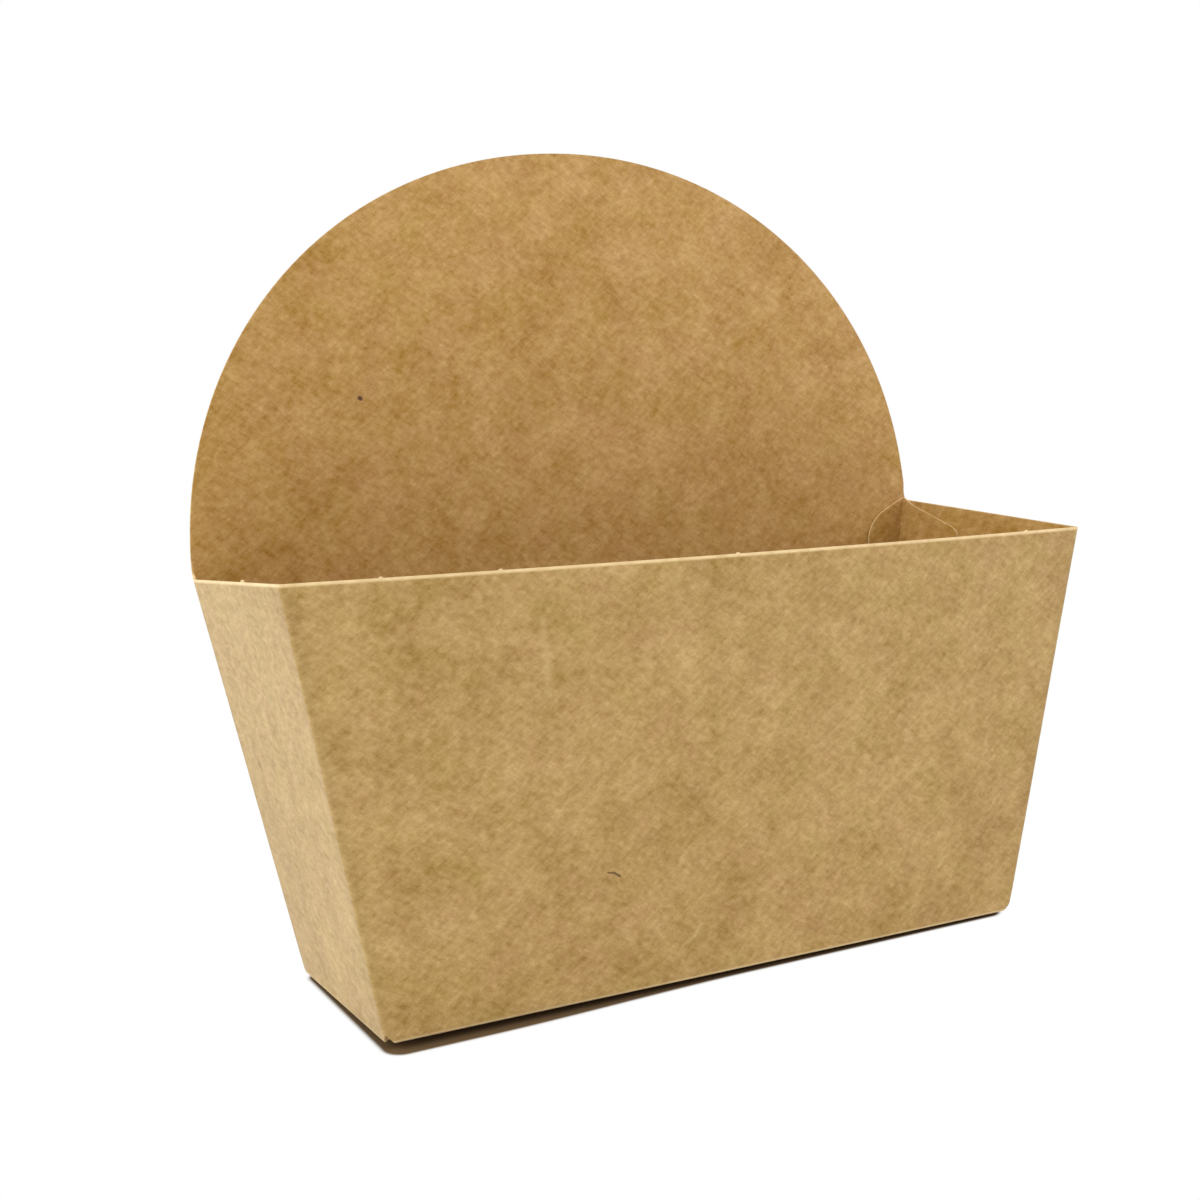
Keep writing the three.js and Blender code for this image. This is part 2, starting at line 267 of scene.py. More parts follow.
@dataclass
class FoldedWalls:
    """The four walls and the round back panel, as one grid that runs round the box and over
    the cut edge.

    A dimming is added to the distance from the cut edge on the round panel and the right end wall,
    so that its pale band, pale fibres and partly a painted highlight, is weaker there.
    """

    box: BoxShape
    cut_round: float = 0.15
    support: float = 0.3
    notch_height: float = 1.75
    notch_reach: float = 1.3
    front_nick_height: float = 0.22
    left_nick_height: float = 0.4
    nick_half_width: float = 0.28
    front_nicks: tuple[float, ...] = (-59.7, -40.9, 0.5, 61.9)
    left_nicks: tuple[float, ...] = (-6.0,)
    near_corner: tuple[float, ...] = (0.15, 0.35, 0.6, 1.0, 1.8, 3.2)
    fold_steps: int = 8
    arch_steps: int = 96
    wave: float = 0.12
    wave_from: float = 6.0
    wave_over: float = 20.0
    arch_dimming: float = 0.45
    dimming_rise: float = 1.5
    right_dimming: float = 0.25
    fold_highlight_top: float = 0.68
    fold_highlight_fade: float = 0.3
    crease_shade_reach: float = 2.2
    fold_fade_top: float = 4.9
    fold_fade: float = 4.0
    edge_turn_from: float = 4.0
    edge_turn_over: float = 4.0
    beside_nick: tuple[float, ...] = (-0.4, -0.3, -0.22, -0.12, 0.0, 0.12, 0.22, 0.3, 0.4)
    front_steps: int = 74
    end_steps: int = 26
    outer_bend_rows: int = 8
    inner_bend_rows: int = 6
    low_rows: tuple[float, ...] = (1.3, 1.9, 2.8, 3.9, 4.9)
    wall_rows: tuple[float, float, int] = (7.5, 69.5, 22)
    top_row: float = 71.4
    panel_rows: int = 28
    panel_crowding: float = 0.9
    edge_points: int = 9

    def side_places(self, reach: float, base_reach: float, steps: int, nicks: tuple[float, ...]
                    ) -> np.ndarray:
        """Places of the columns on one flat wall, as shares of its flat part.

        They are even steps, with more of them beside the corners and round each nick.

        Args:
            reach: Half the flat part's length at the rim.
            base_reach: Half the flat part's length at the base.
            steps: Number of even steps.
            nicks: Places of the nicks at the rim.

        Returns:
            Shares from -1 to 1, rising.
        """
        near = 1 - np.array(self.near_corner) / base_reach
        stubs = (np.array(nicks)[:, None] + np.array(self.beside_nick)).ravel() / reach
        return np.unique(np.concatenate((np.linspace(-1, 1, steps + 1), near, -near, stubs)))

    def back_places(self) -> np.ndarray:
        """Places of the columns on the back wall, which end at even steps along the arch.

        Returns:
            Shares of the flat part from -1 to 1, rising.
        """
        box = self.box
        angle = np.linspace(0, math.pi / 2, self.arch_steps // 2 + 1)
        up = box.back_rise * np.sin(angle) ** (2 / box.back_fullness)
        flat = box.half_length(box.wall_height + up * math.cos(box.front_lean)) - box.upright_fold
        share = np.minimum(box.arch_half_length(up) / flat, 1)
        near = 1 - np.array(self.near_corner) / (box.base_length / 2 - box.upright_fold)
        return np.unique(np.concatenate((share, -share, near, -near)).round(6))

    def columns(self) -> Columns:
        """Columns round the box, from the front's left end anticlockwise seen from above.

        On a flat wall the outward direction is constant. At a corner the core place is
        constant and the outward direction turns through a quarter circle.

        Returns:
            The columns.
        """
        box = self.box
        fold = box.upright_fold
        long_rim, long_base = box.rim_length / 2 - fold, box.base_length / 2 - fold
        deep_rim, deep_base = box.rim_depth / 2 - fold, box.base_depth / 2 - fold
        front = self.side_places(long_rim, long_base, self.front_steps, self.front_nicks)
        right = self.side_places(deep_rim, deep_base, self.end_steps, ())
        left = self.side_places(deep_rim, deep_base, self.end_steps, self.left_nicks)[::-1]
        back = self.back_places()[::-1]
        turn = np.linspace(0, math.pi / 2, self.fold_steps + 1)[1:-1]
        parts: list[np.ndarray] = []
        sides = ((front, 0, -1), (right, 1, 0), (back, 0, 1), (left, -1, 0))
        corners = ((1, -1, -math.pi / 2), (1, 1, 0.0), (-1, 1, math.pi / 2), (-1, -1, math.pi))
        for (places, out_x, out_y), (x, y, start) in zip(sides, corners):
            along = places if out_x == 0 else np.full_like(places, out_x)
            across = places if out_y == 0 else np.full_like(places, out_y)
            flat = (along, across, np.full_like(places, out_x), np.full_like(places, out_y))
            parts.append(np.stack(flat))
            bend = (np.full_like(turn, x), np.full_like(turn, y),
                    np.cos(start + turn), np.sin(start + turn))
            parts.append(np.stack(bend))
        return Columns(*np.concatenate(parts, axis=1))

    def spot(self, c: Columns, z: np.ndarray, depth: np.ndarray
             ) -> tuple[np.ndarray, np.ndarray]:
        """Places of the columns: each one's share of the core, plus its way out of the core.

        Args:
            c: The columns.
            z: Heights.
            depth: Depths into the board.

        Returns:
            Places along and across the tray.
        """
        box, fold = self.box, self.box.upright_fold
        out_x = fold - depth / math.cos(box.end_lean)
        out_y = fold - depth / math.cos(box.front_lean)
        x = c.core_x * (box.half_length(z) - fold) + c.out_x * out_x
        y = c.core_y * (box.half_depth(z) - fold) + c.out_y * out_y
        return x, y

    def tops(self, c: Columns) -> np.ndarray:
        """Height of the cut edge on each column.

        It is the rim's height, and on the back wall and its folds the height at which the
        column meets the arch, found by halving an interval fifty times.

        Args:
            c: The columns.

        Returns:
            One height for each column.
        """
        box = self.box
        low = np.full(c.core_x.shape, box.wall_height)
        high = low + box.back_rise * math.cos(box.front_lean)
        on_back = (c.core_y > 0.5) & (c.out_y > 1e-9)
        for _ in range(50):
            middle = (low + high) / 2
            up = (middle - box.wall_height) / math.cos(box.front_lean)
            out = np.abs(self.spot(c, middle, np.zeros(1))[0]) > box.arch_half_length(up)
            high = np.where(out, middle, high)
            low = np.where(out, low, middle)
        return np.where(on_back, low, box.wall_height)

    def edge_direction(self, c: Columns, top: np.ndarray) -> tuple[np.ndarray, np.ndarray]:
        """Direction in which the cut edge faces, along and up.

        It is up on the rim, and on the arch the slope of the superellipse, with a smooth change
        over the first millimetres above the rim.

        Args:
            c: The columns.
            top: Height of the cut edge on each column.

        Returns:
            The parts along the tray and upwards, of length one together.
        """
        box = self.box
        up = np.maximum(top - box.wall_height, 1e-6) / math.cos(box.front_lean)
        power = box.back_fullness - 1
        x = self.spot(c, top, np.zeros(1))[0]
        slope_x = np.sign(x) * (np.abs(x) * 2 / box.rim_length) ** power / box.rim_length * 2
        slope_up = (up / box.back_rise) ** power / box.back_rise
        size = np.hypot(slope_x, slope_up)
        step = np.clip((up - self.edge_turn_from) / self.edge_turn_over, 0, 1)
        turn = step * step * (3 - 2 * step)
        along, above = turn * slope_x / size, (1 - turn) + turn * slope_up / size
        size = np.hypot(along, above)
        return along / size, above / size

    def edge_rows(self) -> tuple[np.ndarray, np.ndarray]:
        """Rows over the cut edge: how far each lies beyond the edge and how deep in the board.

        The section is half a superellipse of power four, so the edge is flat with round corners.

        Returns:
            Distances beyond the edge, and depths.
        """
        angle = np.linspace(0, math.pi, self.edge_points)
        out = np.sqrt(np.sin(angle)) * self.cut_round - self.cut_round
        deep = (1 - np.sign(np.cos(angle)) * np.sqrt(np.abs(np.cos(angle)))) / 2 * self.box.board
        back_off = -self.cut_round - self.support
        beyond = np.concatenate(([back_off], out, [back_off]))
        return beyond, np.concatenate(([0.0], deep, [self.box.board]))

    def fold_rise(self, c: Columns) -> np.ndarray:
        """Height of the bottom folds: nothing at the back, one board at the front, and in a
        straight line between two heights along the ends.

        Args:
            c: The columns.

        Returns:
            One height for each column.
        """
        board, rear = self.box.board, self.box.end_fold_rear
        side_share = np.arctan2(np.abs(c.out_y), np.abs(c.out_x)) / (math.pi / 2)
        back = (1 + c.core_y) / 2
        end = board + (rear - board) * back
        side = board * (1 - back)
        return end + (side - end) * side_share

    def shell(self) -> Shell:
        """The grid: up the outside, over the cut edge, down the inside and across the lip where
        the bottom flap starts.

        The bottom fold is a quarter circle outside and a smaller one about the same centre
        inside. Both end at the slanting relief notch beside each corner.

        Returns:
            The closed surface.
        """
        box = self.box
        c = self.columns()
        top = self.tops(c)
        face_x, face_up = self.edge_direction(c, top)
        round_fold, board = box.bottom_fold, box.board
        bend = round_fold * (1 - np.cos(np.linspace(0, math.pi / 2, self.outer_bend_rows)))
        wall = np.concatenate((self.low_rows, np.linspace(*self.wall_rows), [self.top_row]))
        shares = np.linspace(0, 1, self.panel_rows + 1)[1:] ** self.panel_crowding
        beyond, deep = self.edge_rows()
        level = wall[-1]
        support_z = top - (self.cut_round + self.support) * face_up
        is_flat = top <= box.wall_height + 1e-6
        row_share = np.where(is_flat, 1.0, shares[:, None])
        panel = level + row_share * (support_z - level)
        slip = -(self.cut_round + self.support) * face_x * row_share**3
        nick = self.nick_rise(c)
        edge = top + beyond[:, None] * face_up
        edge = edge + nick * (beyond[:, None] > -self.cut_round - 1e-3)
        inner_angle = np.linspace(0, math.pi / 2, self.inner_bend_rows)
        inner_bend = round_fold - (round_fold - board) * np.cos(inner_angle)
        level_rows = [np.repeat(rows[:, None], c.core_x.size, axis=1)
                      for rows in (bend, wall, wall[::-1], inner_bend[::-1])]
        z = np.concatenate((*level_rows[:2], panel, edge[1:-1], panel[::-1], *level_rows[2:]))
        outside = bend.size + wall.size + shares.size
        inside = z.shape[0] - outside - (beyond.size - 2)
        depth = np.concatenate((np.zeros(outside), deep[1:-1], np.full(inside, board)))
        shift = np.zeros_like(z)
        shift[outside - shares.size : outside] = slip
        shift[outside : outside + beyond.size - 2] = beyond[1:-1, None] * face_x
        start = outside + beyond.size - 2
        shift[start : start + shares.size] = slip[::-1]
        z = np.maximum(z, self.notch_bottom(c))
        inner = depth[:, None] >= board - 1e-9
        low = np.clip(round_fold - z, 0, None)
        inset = np.where(
            inner,
            round_fold - np.sqrt(np.clip((round_fold - board) ** 2 - low**2, 0, None)),
            round_fold - np.sqrt(np.clip(round_fold**2 - low**2, 0, None)),
        )
        into = np.where(low > 0, inset, depth[:, None])
        x, y = self.spot(c, z, into)
        x = x + shift
        wave = self.wave * np.abs(c.out_y) * np.clip((z - self.wave_from) / self.wave_over, 0, 1)
        y = y + wave * self.waves(x, z)
        rise = self.fold_rise(c) * np.clip((self.fold_fade_top - z) / self.fold_fade, 0, 1)
        points = box.settle(x, y, z + rise)
        values = self.values(c, x, z, top, depth, beyond, outside)
        quads = grid_quads(*z.shape, rows_meet=True, columns_meet=True)
        return Shell(points.reshape(-1, 3), quads, values)

    def waves(self, x: np.ndarray, z: np.ndarray) -> np.ndarray:
        """Slow waves of a hand-folded wall: three sines of 60 to 110 mm, summed."""
        return (np.sin(x / 14 + z / 31) + np.sin(x / 23 - z / 17 + 1.3) + np.sin(z / 12 + 2.1)) / 3

    def nick_rise(self, c: Columns) -> np.ndarray:
        """Height of the nicks on each column.

        Each is a flat-topped bump: e to the minus fourth power of the distance over its width.

        Args:
            c: The columns.

        Returns:
            One height for each column.
        """
        box = self.box
        front = c.core_x * (box.rim_length / 2 - box.upright_fold)
        left = c.core_y * (box.rim_depth / 2 - box.upright_fold)
        rise = np.zeros(c.core_x.shape)
        for nicks, along, out, height in (
            (self.front_nicks, front, c.out_y, self.front_nick_height),
            (self.left_nicks, left, c.out_x, self.left_nick_height),
        ):
            for place in nicks:
                bump = np.exp(-(((along - place) / self.nick_half_width) ** 4))
                rise = rise + height * bump * (out < -0.99)
        return rise

    def corner_distance(self, c: Columns) -> np.ndarray:
        """Distance of each column from the middle of the nearest upright fold, at the base.

        On a flat wall it is the way to the fold plus half the fold's arc, and in a fold the arc
        from its middle.

        Args:
            c: The columns.

        Returns:
            One distance for each column.
        """
        box = self.box
        fold = box.upright_fold
        half_arc = fold * math.pi / 4
        angle = np.arctan2(np.abs(c.out_y), np.abs(c.out_x))
        in_fold = (np.abs(c.out_x) > 1e-9) & (np.abs(c.out_y) > 1e-9)
        along = half_arc + (1 - np.abs(c.core_x)) * (box.base_length / 2 - fold)
        across = half_arc + (1 - np.abs(c.core_y)) * (box.base_depth / 2 - fold)
        flat = np.where(np.abs(c.out_y) > 0.5, along, across)
        return np.where(in_fold, fold * np.abs(angle - math.pi / 4), flat)

    def notch_bottom(self, c: Columns) -> np.ndarray:
        """Lowest height on each column: a straight slant from the notch's top to the fold."""
        return self.notch_height * np.clip(1 - self.corner_distance(c) / self.notch_reach, 0, 1)

    def values(self, c: Columns, x: np.ndarray, z: np.ndarray, top: np.ndarray,
               depth: np.ndarray, beyond: np.ndarray, outside: int) -> dict[str, np.ndarray]:
        """What the material reads at each point.

        Args:
            c: The columns.
            x: Places along.
            z: Heights before the sheet settles.
            top: Height of the cut edge on each column.
            depth: Depth into the board of each row.
            beyond: How far each edge row lies beyond the edge.
            outside: Number of rows before the cut edge.

        Returns:
            The share of the inside face, the distance from the cut edge, the nearness to a
            bottom fold and to an upright fold, and the share of end wall.
        """
        box = self.box
        up = (z - box.wall_height) / math.cos(box.front_lean)
        power = box.back_fullness
        reach = (np.abs(x) * 2 / box.rim_length) ** power
        reach = reach + np.clip(up / box.back_rise, 0, None) ** power
        to_arch = (1 - reach ** (1 / power)) * (box.rim_length + 2 * box.back_rise) / 4
        to_arch = np.where(up > 0, np.maximum(to_arch, 0), FAR_FROM_EDGE)
        on_back = (c.core_y > 0.5) & (c.out_y > 0.5)
        edge = np.where(on_back, to_arch, np.maximum(top - z, 0))
        edge[outside : outside + beyond.size - 2] = 0
        # The cut edge's pale band, pale fibres and partly a painted highlight, is weakened on the
        # round panel and on the right end wall.
        on_arch = np.clip((z - box.wall_height) / self.dimming_rise, 0, 1) * on_back
        edge = edge + self.arch_dimming * on_arch + self.right_dimming * (c.out_x > 0.5)
        # Painted highlight: nearness to the bottom fold, for a paler band there.
        bottom = np.clip((self.fold_highlight_top - z) / self.fold_highlight_fade, 0, 1)
        # Painted shade: nearness to an upright fold, kept to the outside face.
        upright = np.clip(1 - self.corner_distance(c) / self.crease_shade_reach, 0, 1)
        inside = depth[:, None] / box.board
        return point_values(
            z.shape, inside=inside, edge_distance=np.minimum(edge, FAR_FROM_EDGE),
            bottom_fold=bottom, upright_fold=upright * (1 - inside), end_wall=np.abs(c.out_x))


@dataclass
class SeamFlap:
    """The strip glued inside the rear right corner, with a wing on the back wall and one on the
    end wall."""

    box: BoxShape
    back_edge: tuple[tuple[float, float], ...] = (
        (0.0, 0.7), (2.5, -0.4), (5.5, -1.9), (6.9, -3.0), (7.7, -4.2), (8.2, -5.4), (8.4, -6.8))
    end_edge: tuple[tuple[float, float], ...] = (
        (0.0, 0.7), (1.5, 0.1), (4.0, -0.9), (9.0, -1.9), (14.0, -3.0), (17.0, -3.7),
        (18.3, -4.3), (18.9, -5.0), (19.1, -6.5))
    foot: float = 8.0
    foot_slant: float = 2.4
    fold: float = 1.0
    edge_dimming: float = 0.2
    near_side: tuple[float, ...] = (0.25, 0.4, 0.6, 0.8, 1.0, 1.3)
    even_from: float = 1.6
    back_steps: int = 12
    end_steps: int = 22
    lower_rows: tuple[float, float, int] = (0.0, 0.9, 12)
    upper_rows: tuple[float, float, int] = (0.93, 1.0, 8)
    tip_drop: float = 0.25
    cut_round: float = 0.14
    air: float = 0.02

    def wing(self, edge: tuple[tuple[float, float], ...], steps: int
             ) -> tuple[np.ndarray, np.ndarray, np.ndarray]:
        """Columns of one wing, from its free side to the fold.

        The top edge runs through the given points in straight lines. At the free side the
        thickness grows as a quarter circle.

        Args:
            edge: Distance from the corner and height over the rim of the top edge's points.
            steps: Number of even steps.

        Returns:
            Distance from the corner, height of the top edge, and share of the thickness.
        """
        distance, height = np.array(edge).T
        width, start = distance[-1], self.fold - self.box.board
        angle = np.linspace(0, math.pi / 2, 5)
        side = width - self.cut_round * (1 - np.cos(angle))
        near = width - np.array(self.near_side)
        inner = np.linspace(width - self.even_from, start, steps)
        places = np.concatenate((side, near, inner))
        thickness = np.concatenate((np.sin(angle), np.ones(near.size + inner.size)))
        top = self.box.wall_height + np.interp(places, distance, height)
        return places, top, thickness

    def shell(self) -> Shell:
        """The closed strip: a grid across both wings and round through the thickness.

        Each column runs up one face, over the top edge in half a superellipse of power four,
        down the other face and under the foot in the same way.

        Returns:
            The closed surface.
        """
        box = self.box
        back, back_top, back_share = self.wing(self.back_edge, self.back_steps)
        end, end_top, end_share = self.wing(self.end_edge, self.end_steps)
        turn = np.linspace(0, math.pi / 2, 9)[1:-1]
        tip = box.wall_height + np.full_like(turn, self.back_edge[0][1] - self.tip_drop)
        start = self.fold - box.board
        distance = np.concatenate((back, np.full_like(turn, start), end[::-1]))
        top = np.concatenate((back_top, tip, end_top[::-1]))
        share = np.concatenate((back_share, np.ones_like(turn), end_share[::-1]))
        out_x = np.concatenate((np.zeros_like(back), np.sin(turn), np.ones_like(end)))
        out_y = np.concatenate((np.ones_like(back), np.cos(turn), np.zeros_like(end)))
        on_back = out_x < 1e-9
        on_end = out_y < 1e-9
        width = np.where(on_back, self.back_edge[-1][0], self.end_edge[-1][0])
        to_side = np.clip(1 - (width - distance) / self.foot_slant, 0, 1)
        bottom = self.foot + self.foot_slant * to_side
        rows = np.concatenate((np.linspace(*self.lower_rows), np.linspace(*self.upper_rows)))
        angle = np.linspace(0, math.pi, 7)[1:-1]
        over = np.sqrt(np.sin(angle)) * self.cut_round
        through = -np.sign(np.cos(angle)) * np.sqrt(np.abs(np.cos(angle)))
        low, high = bottom + self.cut_round, top - self.cut_round
        rise = low + rows[:, None] * (high - low)
        z = np.concatenate((rise, high + over[:, None], rise[::-1], low - over[:, None]))
        side = np.concatenate((-np.ones(rows.size), through, np.ones(rows.size), -through))
        half = (box.board - self.air) / 2
        depth = box.board * 1.5 + self.air / 2 + half * side[:, None] * share
        fold = self.fold
        slide_x = np.where(on_back, distance - start, 0)
        slide_y = np.where(on_end, distance - start, 0)
        x = box.half_length(z) - fold - slide_x + out_x * (fold - depth / math.cos(box.end_lean))
        y = box.half_depth(z) - fold - slide_y + out_y * (fold - depth / math.cos(box.front_lean))
        points = box.settle(x, y, z)
        # The dimming narrows the pale band, pale fibres and partly a painted highlight, on the
        # wings' edges.
        edge = np.minimum(np.maximum(top - z, 0), width - distance) + self.edge_dimming
        values = point_values(
            z.shape, inside=(side[:, None] + 1) / 2, edge_distance=edge, end_wall=out_x)
        quads = grid_quads(z.shape[0], distance.size, rows_meet=True, columns_meet=False)
        return Shell(points.reshape(-1, 3), quads, values)


@dataclass
class BottomFlaps:
    """The flaps that close the bottom, from the surface upwards: back flap, front flap and a
    dust flap from each end wall."""

    box: BoxShape
    overlap: float = 16.0
    end_gap: float = 3.0
    corner_round: float = 3.0
    dust_length: float = 36.0
    dust_side_gap: float = 1.6
    dust_taper: float = 6.0
    air: float = 0.03
    cut_round: float = 0.12
    near_end: tuple[float, ...] = (3.2, 2.6, 2.1, 1.6, 1.2, 0.8, 0.6)
    even_from: float = 0.4
    reach_steps: int = 26
    across_points: int = 41

    def stations(self, start: float, stop: float, steps: int) -> tuple[np.ndarray, np.ndarray]:
        """Stations from a flap's fold to its free edge, with the share of thickness at each.

        The thickness grows and falls as a quarter circle at both ends.

        Args:
            start: Place of the fold.
            stop: Place of the free edge.
            steps: Number of even steps between.

        Returns:
            Places and shares of the thickness.
        """
        angle = np.linspace(0, math.pi / 2, 4)
        way = math.copysign(1.0, stop - start)
        rim = way * self.cut_round * (1 - np.cos(angle))
        inner = np.linspace(start + way * self.even_from, stop - way * self.even_from, steps)
        near = stop - way * np.array(self.near_end)
        inner = np.sort(np.unique(np.concatenate((inner, near))))[:: int(way)]
        places = np.concatenate((start + rim, inner, (stop - rim)[::-1]))
        shares = np.concatenate((np.sin(angle), np.ones(inner.size), np.sin(angle)[::-1]))
        return places, shares

    def flap(self, axis: Axis, start: float, stop: float,
             half_width: Callable[[np.ndarray], np.ndarray],
             middle: Callable[[np.ndarray, np.ndarray], np.ndarray]) -> Shell:
        """A flap as a closed loft: one flat ring for each station from fold to free edge.

        Args:
            axis: The direction in which the flap reaches.
            start: Place of the fold in that direction.
            stop: Place of the free edge.
            half_width: Half the flap's width at a place.
            middle: Height of the middle of the board at x and y.

        Returns:
            The closed flap.
        """
        places, shares = self.stations(start, stop, self.reach_steps)
        across = np.linspace(-1, 1, self.across_points)
        level = np.ones_like(across)
        ring = np.concatenate((across, [1.0], across[::-1], [-1.0]))
        height = np.concatenate((-level, [0.0], level, [0.0]))
        wide = half_width(places)[:, None]
        side = ring * (wide - self.cut_round) + np.where(height == 0, ring, 0) * self.cut_round
        reach = np.repeat(places[:, None], ring.size, axis=1)
        x, y = (reach, side) if axis is Axis.LENGTH else (side, reach)
        half = (self.box.board - self.air) / 2
        z = middle(x, y) + half * height * shares[:, None]
        edge = np.minimum(wide - np.abs(side), np.abs(stop - reach))
        values = point_values(
            z.shape, inside=(height + 1) / 2, edge_distance=np.maximum(edge, 0))
        quads = grid_quads(places.size, ring.size, rows_meet=False, columns_meet=True)
        return Shell(np.stack((x, y, z), axis=-1).reshape(-1, 3), quads, values)

    def back_flap(self) -> Shell:
        """The lowest flap, flat on the surface, with its two free corners cut round.

        Returns:
            The closed flap.
        """
        box = self.box
        side = box.base_length / 2 - self.end_gap
        front = -self.overlap / 2
        radius = self.corner_round

        def half_width(y: np.ndarray) -> np.ndarray:
            """Full width, less a quarter circle at the free corners."""
            short = np.clip(radius - (y - front), 0, radius)
            return side - radius + np.sqrt(radius**2 - short**2)

        def middle(x: np.ndarray, y: np.ndarray) -> np.ndarray:
            """Half a board above the surface."""
            return np.full_like(x, box.board / 2)

        rear = box.base_depth / 2 - box.bottom_fold
        return self.flap(Axis.DEPTH, rear, front, half_width, middle)

    def front_flap(self) -> Shell:
        """The next flap, flat over the overlap and bent up from there to the lifted fold.

        Returns:
            The closed flap.
        """
        box = self.box
        fold = -box.base_depth / 2 + box.bottom_fold
        rear = self.overlap / 2
        side = box.base_length / 2 - self.end_gap

        def half_width(y: np.ndarray) -> np.ndarray:
            """The same width all the way."""
            return np.full_like(y, side)

        def middle(x: np.ndarray, y: np.ndarray) -> np.ndarray:
            """One and a half boards, plus a lift that grows evenly towards the fold and left.

            Args:
                x: Places along the tray.
                y: Places across the tray.

            Returns:
                One height for each place.
            """
            bend = np.clip((-rear - y) / (-fold - rear), 0, 1)
            lift = box.front_left_lift * bend * (1 - x / (box.base_length / 2)) / 2
            return 1.5 * box.board + lift

        return self.flap(Axis.DEPTH, fold, rear, half_width, middle)

    def dust_flap(self, way: int) -> Shell:
        """A dust flap, which lies on the others and narrows to its tip.

        Args:
            way: 1 for the right end and -1 for the left end.

        Returns:
            The closed flap.
        """
        box = self.box
        root = box.base_length / 2 - box.bottom_fold
        wide = box.base_depth / 2 - box.board - self.dust_side_gap

        def half_width(x: np.ndarray) -> np.ndarray:
            """Width that falls in a straight line from root to tip."""
            return wide - self.dust_taper * np.clip((root - np.abs(x)) / self.dust_length, 0, 1)

        def middle(x: np.ndarray, y: np.ndarray) -> np.ndarray:
            """Height that climbs in a straight line from the fold to the flaps below, falls
            towards the back, and has the sheet's own lift.

            Args:
                x: Places along the tray.
                y: Places across the tray.

            Returns:
                One height for each place.
            """
            back = 0.5 + y / box.base_depth
            fold = box.board + (box.end_fold_rear - box.board) * back
            rest = box.board * (2.05 - back)
            climb = np.clip((root - np.abs(x)) / self.end_gap, 0, 1)
            return box.settle(x, y, fold + (rest - fold) * climb + box.board / 2)[..., 2]

        tip = root - self.dust_length
        return self.flap(Axis.LENGTH, way * root, way * tip, half_width, middle)

    def shells(self) -> list[Shell]:
        """All four flaps."""
        return [self.back_flap(), self.front_flap(), self.dust_flap(1), self.dust_flap(-1)]


@dataclass(frozen=True)
class Mark:
    """A speck, fibre or rub on the board, as a short straight stroke.

    Attributes:
        face: The wall that it lies on.
        start: One end, along and up, in millimetres.
        end: The other end.
        half_width: Half its width.
        soft: Width over which it fades.
        tone: The colour that it takes the board to.
        strength: How far it takes it there.
    """

    face: Face
    start: tuple[float, float]
    end: tuple[float, float]
    half_width: float
    soft: float
    tone: str
    strength: float


@dataclass(frozen=True)
class KraftBoard:
    """Unbleached kraft board of about 350 g/m2, made on a paper machine from long brown fibres.

    To the eye it is matt and warm, with clouds of denser and thinner fibre a centimetre across,
    a fine felt of single fibres, a few dark specks of bark, and pale torn fibres where it is cut.
    Along its cut edges that pale band is partly a painted highlight, and along its bottom folds a
    pale band is a painted highlight.
    or rubbed.

    Sizes are those of the largest features, in millimetres, and a stretch says how many times
    longer they are along each axis. A depth is how far a noise moves the lightness or the hue.
    A fibre is drawn a few times coarser than the real 0.03 mm so that it shows.
    """

    outside: str = "#B28E50"
    inside: str = "#B58944"
    pale: str = "#F2D29B"
    # Pale band along the cut edges: pale torn fibres, and partly a painted highlight.
    fold_highlight: str = "#E2C691"
    # Painted highlight along the bottom folds.
    shade: str = "#8E7342"
    # Painted shade beside the upright folds, on the outside face.
    speck: str = "#6B4A24"
    paler: tuple[float, float, float] = (1.48, 1.14, 0.67)
    rosier: tuple[float, float, float] = (0.44, -0.32, 0.5)
    wide_cloud: float = 34.0
    cloud: float = 9.0
    hue_cloud: float = 8.1
    felt: float = 1.1
    felt_stretch: tuple[float, float, float] = (2.0, 2.2, 0.8)
    streak: float = 0.9
    streak_stretch: tuple[float, float, float] = (12.0, 1.0, 26.0)
    fibre: float = 0.22
    patchiness: float = 2.2
    speck_spacing: float = 4.5
    wide_depth: float = 0.05
    cloud_depth: float = 0.22
    felt_depth: float = 0.48
    hue_depth: float = 0.07
    streak_depth: float = 0.05
    crease_shade_strength: float = 0.18
    inside_thinning: float = 1.2
    edge_full: float = 0.2
    edge_none: float = 0.7
    roughness: float = 0.62
    sheen: float = 0.2
    marks: tuple[Mark, ...] = (
        Mark(Face.BACK, (-42.4, 101.2), (-42.2, 101.1), 0.28, 0.22, "#4E2600", 0.95),
        Mark(Face.FRONT, (-22.9, 23.1), (-21.8, 22.9), 0.08, 0.14, "#5C3C08", 0.85),
        Mark(Face.FRONT, (-21.8, 22.9), (-20.7, 22.1), 0.1, 0.16, "#5C3C08", 0.9),
        Mark(Face.FRONT, (-34.2, 66.5), (-33.2, 54.3), 0.05, 0.9, "#D6B781", 0.22),
        Mark(Face.FRONT, (-8.6, 7.6), (-6.4, 8.8), 0.1, 0.35, "#D6B781", 0.35),
        Mark(Face.FRONT, (-6.4, 8.8), (-5.2, 10.8), 0.1, 0.35, "#D6B781", 0.3),
    )

    def material(self) -> bpy.types.Material:
        """The finished material.

        Returns:
            The material.
        """
        material = bpy.data.materials.new("unbleached_kraft_board")
        material.use_nodes = True
        tree = material.node_tree
        tree.nodes.clear()
        place = add_node(tree, "ShaderNodeTexCoord").outputs["Object"]
        BoardNodes(self, tree, place).finish()
        return material


